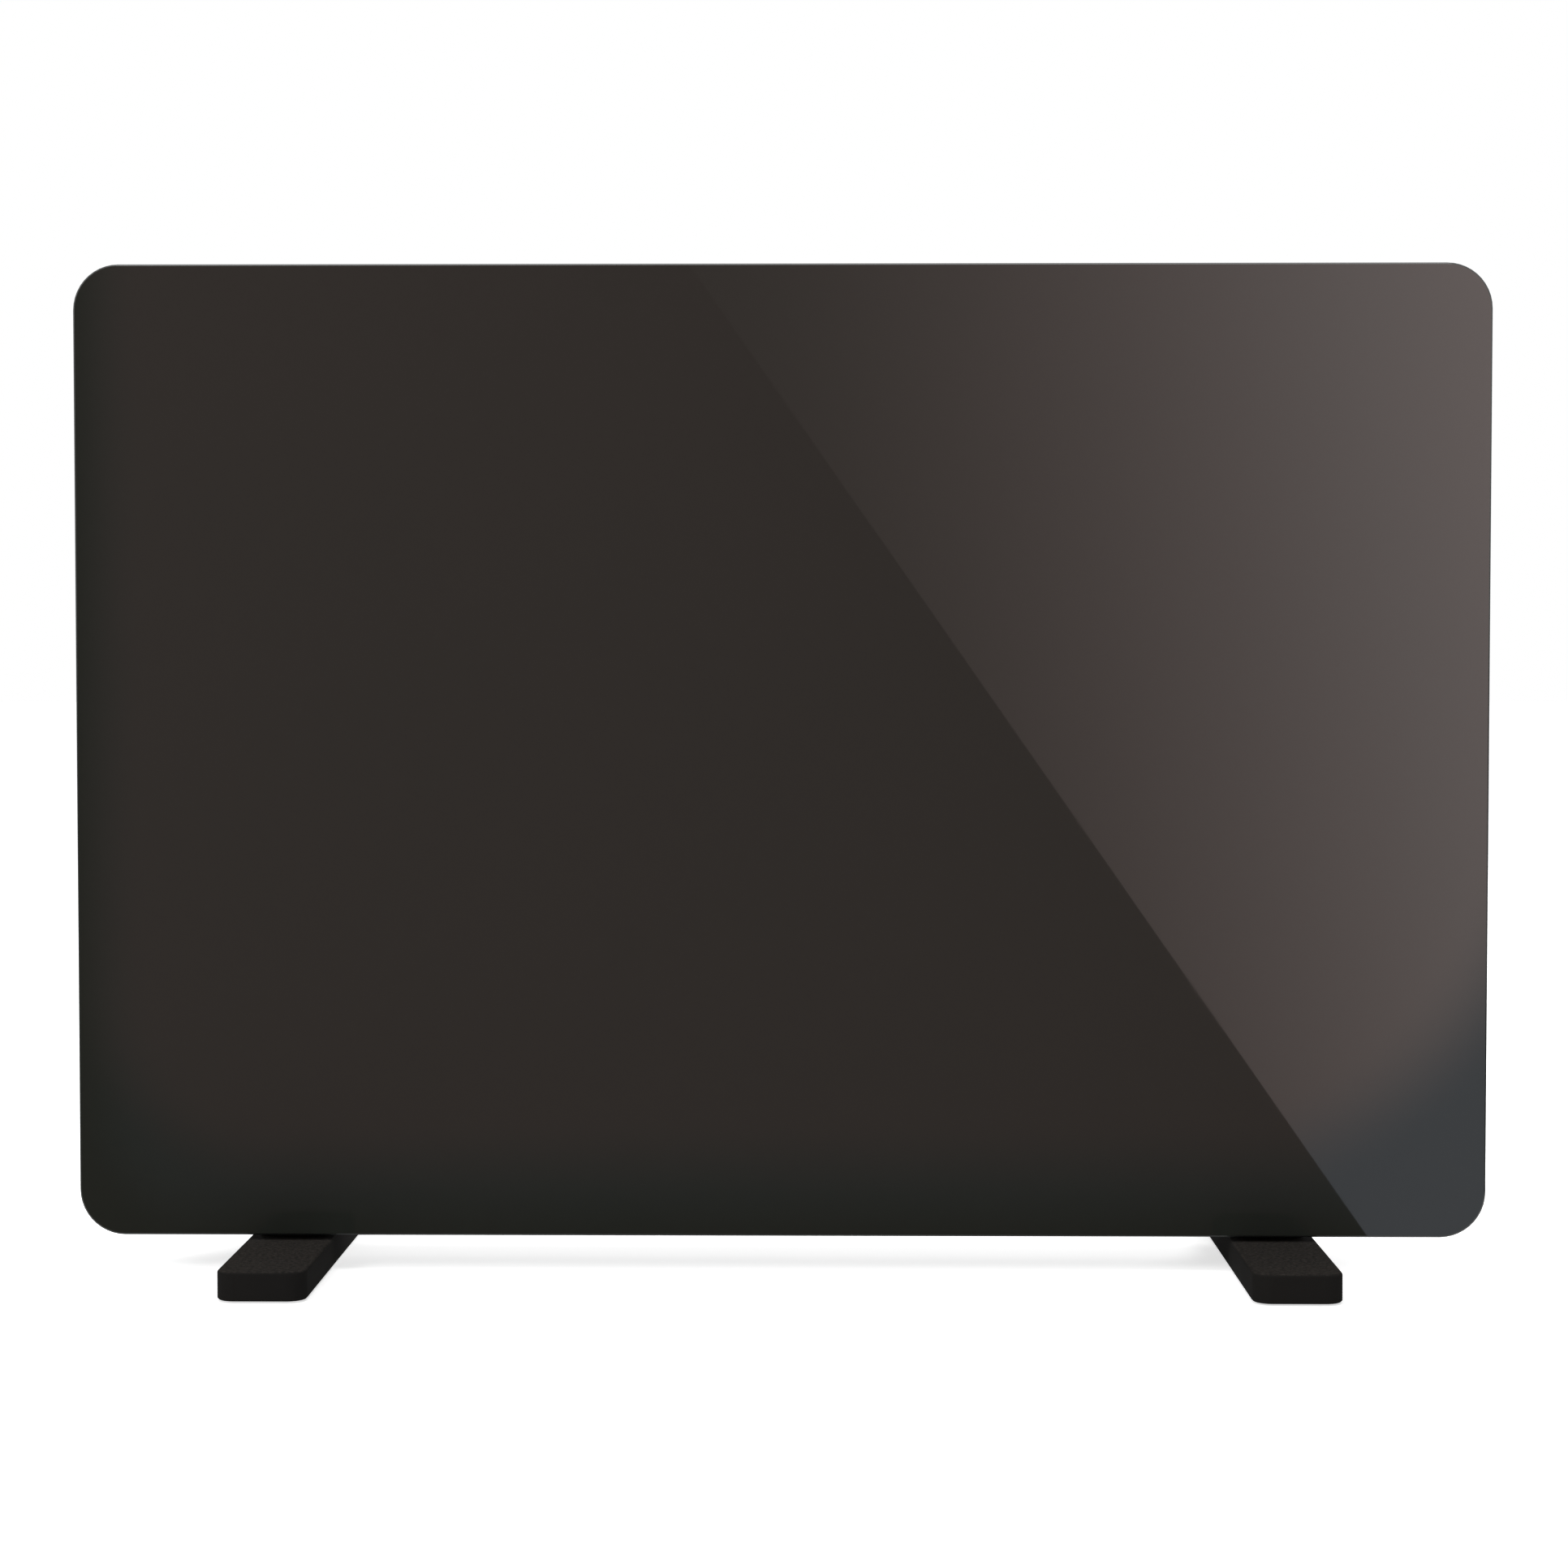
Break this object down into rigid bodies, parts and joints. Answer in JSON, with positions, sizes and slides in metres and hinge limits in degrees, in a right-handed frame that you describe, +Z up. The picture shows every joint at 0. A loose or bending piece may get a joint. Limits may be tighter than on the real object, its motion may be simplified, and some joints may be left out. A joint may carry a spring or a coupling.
{
  "type": "glass panel heater",
  "caption": "Free-standing electric heater with a dark glass front, a vented steel housing behind it, bar feet, a thermostat knob and rocker switches in its side.",
  "frame": {"origin": "on the floor, under the middle of the two feet", "axes": "+X to the right seen from the front, +Y from the glass to the back, +Z up"},
  "size_m": [0.62, 0.224, 0.4425],
  "materials": {
    "smoked_glass": "polished, very dark",
    "silicone": "matt",
    "dark_steel": "fine powder coat",
    "bare_steel": "zinc plated",
    "fin_aluminium": "extruded",
    "rod_steel": "heat-tinted",
    "ceramic": "glazed",
    "black_plastic": "fine grain",
    "knob_plastic": "satin",
    "rocker_plastic": "gloss",
    "lamp_lens": "clear amber",
    "terminal_plastic": "natural",
    "brass_screw": "machined",
    "foot_plastic": "fine satin grain",
    "pad_rubber": "matt",
    "wire_brown": "insulated",
    "wire_blue": "insulated",
    "wire_green": "insulated"
  },
  "bodies": {
    "heater": {"glass_panel": "smoked_glass", "glass_bond_strips": "silicone", "front_tray": "bare_steel", "rear_cover": "dark_steel", "rear_cover_screws": "bare_steel", "wall_inserts": "bare_steel", "lower_element_fins": "fin_aluminium", "lower_element_rod": "rod_steel", "upper_element_fins": "fin_aluminium", "upper_element_rod": "rod_steel", "element_insulators": "ceramic", "partition_plate": "bare_steel", "left_element_bracket": "bare_steel", "heat_shield": "fin_aluminium", "heat_shield_spacers": "bare_steel", "heat_shield_screws": "bare_steel", "thermal_cutout": "black_plastic", "control_panel": "black_plastic", "control_panel_screws": "bare_steel", "thermostat_body": "terminal_plastic", "thermostat_nut": "bare_steel", "high_heat_switch_case": "black_plastic", "low_heat_switch_case": "black_plastic", "pilot_lamp": "lamp_lens", "tip_switch_bracket": "bare_steel", "tip_switch_pin": "bare_steel", "tip_micro_switch": "black_plastic", "terminal_block": "terminal_plastic", "terminal_screws": "brass_screw", "earth_stud": "brass_screw", "earth_nut": "brass_screw", "cord_gland": "black_plastic", "gland_locknut": "black_plastic", "wire_supply": "wire_brown", "wire_tip_to_cutout": "wire_brown", "wire_cutout_to_thermostat": "wire_brown", "wire_high_heat_feed": "wire_brown", "wire_low_heat_feed": "wire_brown", "wire_high_heat_load": "wire_brown", "wire_low_heat_load": "wire_brown", "wire_neutral_upper": "wire_blue", "wire_neutral_lower": "wire_blue", "wire_earth": "wire_green", "left_foot": "foot_plastic", "right_foot": "foot_plastic", "foot_pads": "pad_rubber", "foot_screws": "bare_steel", "foot_nut_plates": "bare_steel"},
    "knob": {"thermostat_knob": "knob_plastic", "thermostat_spindle": "bare_steel"},
    "high_heat_rocker": {"high_heat_rocker": "rocker_plastic"},
    "low_heat_rocker": {"low_heat_rocker": "rocker_plastic"},
    "tip_pendulum": {"tip_switch_pendulum": "bare_steel"}
  },
  "joints": [
    {"name": "knob_turn", "type": "hinge", "parent": "heater", "child": "knob", "pos_m": [0.2785, 0.007, 0.345], "axis": [-1, 0, 0], "range_deg": [0, 270]},
    {"name": "high_heat_rock", "type": "hinge", "parent": "heater", "child": "high_heat_rocker", "pos_m": [0.277, -0.0025, 0.29], "axis": [0, -1, 0], "range_deg": [0, 19.85]},
    {"name": "low_heat_rock", "type": "hinge", "parent": "heater", "child": "low_heat_rocker", "pos_m": [0.277, 0.0165, 0.29], "axis": [0, -1, 0], "range_deg": [0, 19.85]},
    {"name": "pendulum_swing", "type": "hinge", "parent": "heater", "child": "tip_pendulum", "pos_m": [0.24, -0.005, 0.176], "axis": [1, 0, 0], "range_deg": [-25, 25]}
  ]
}
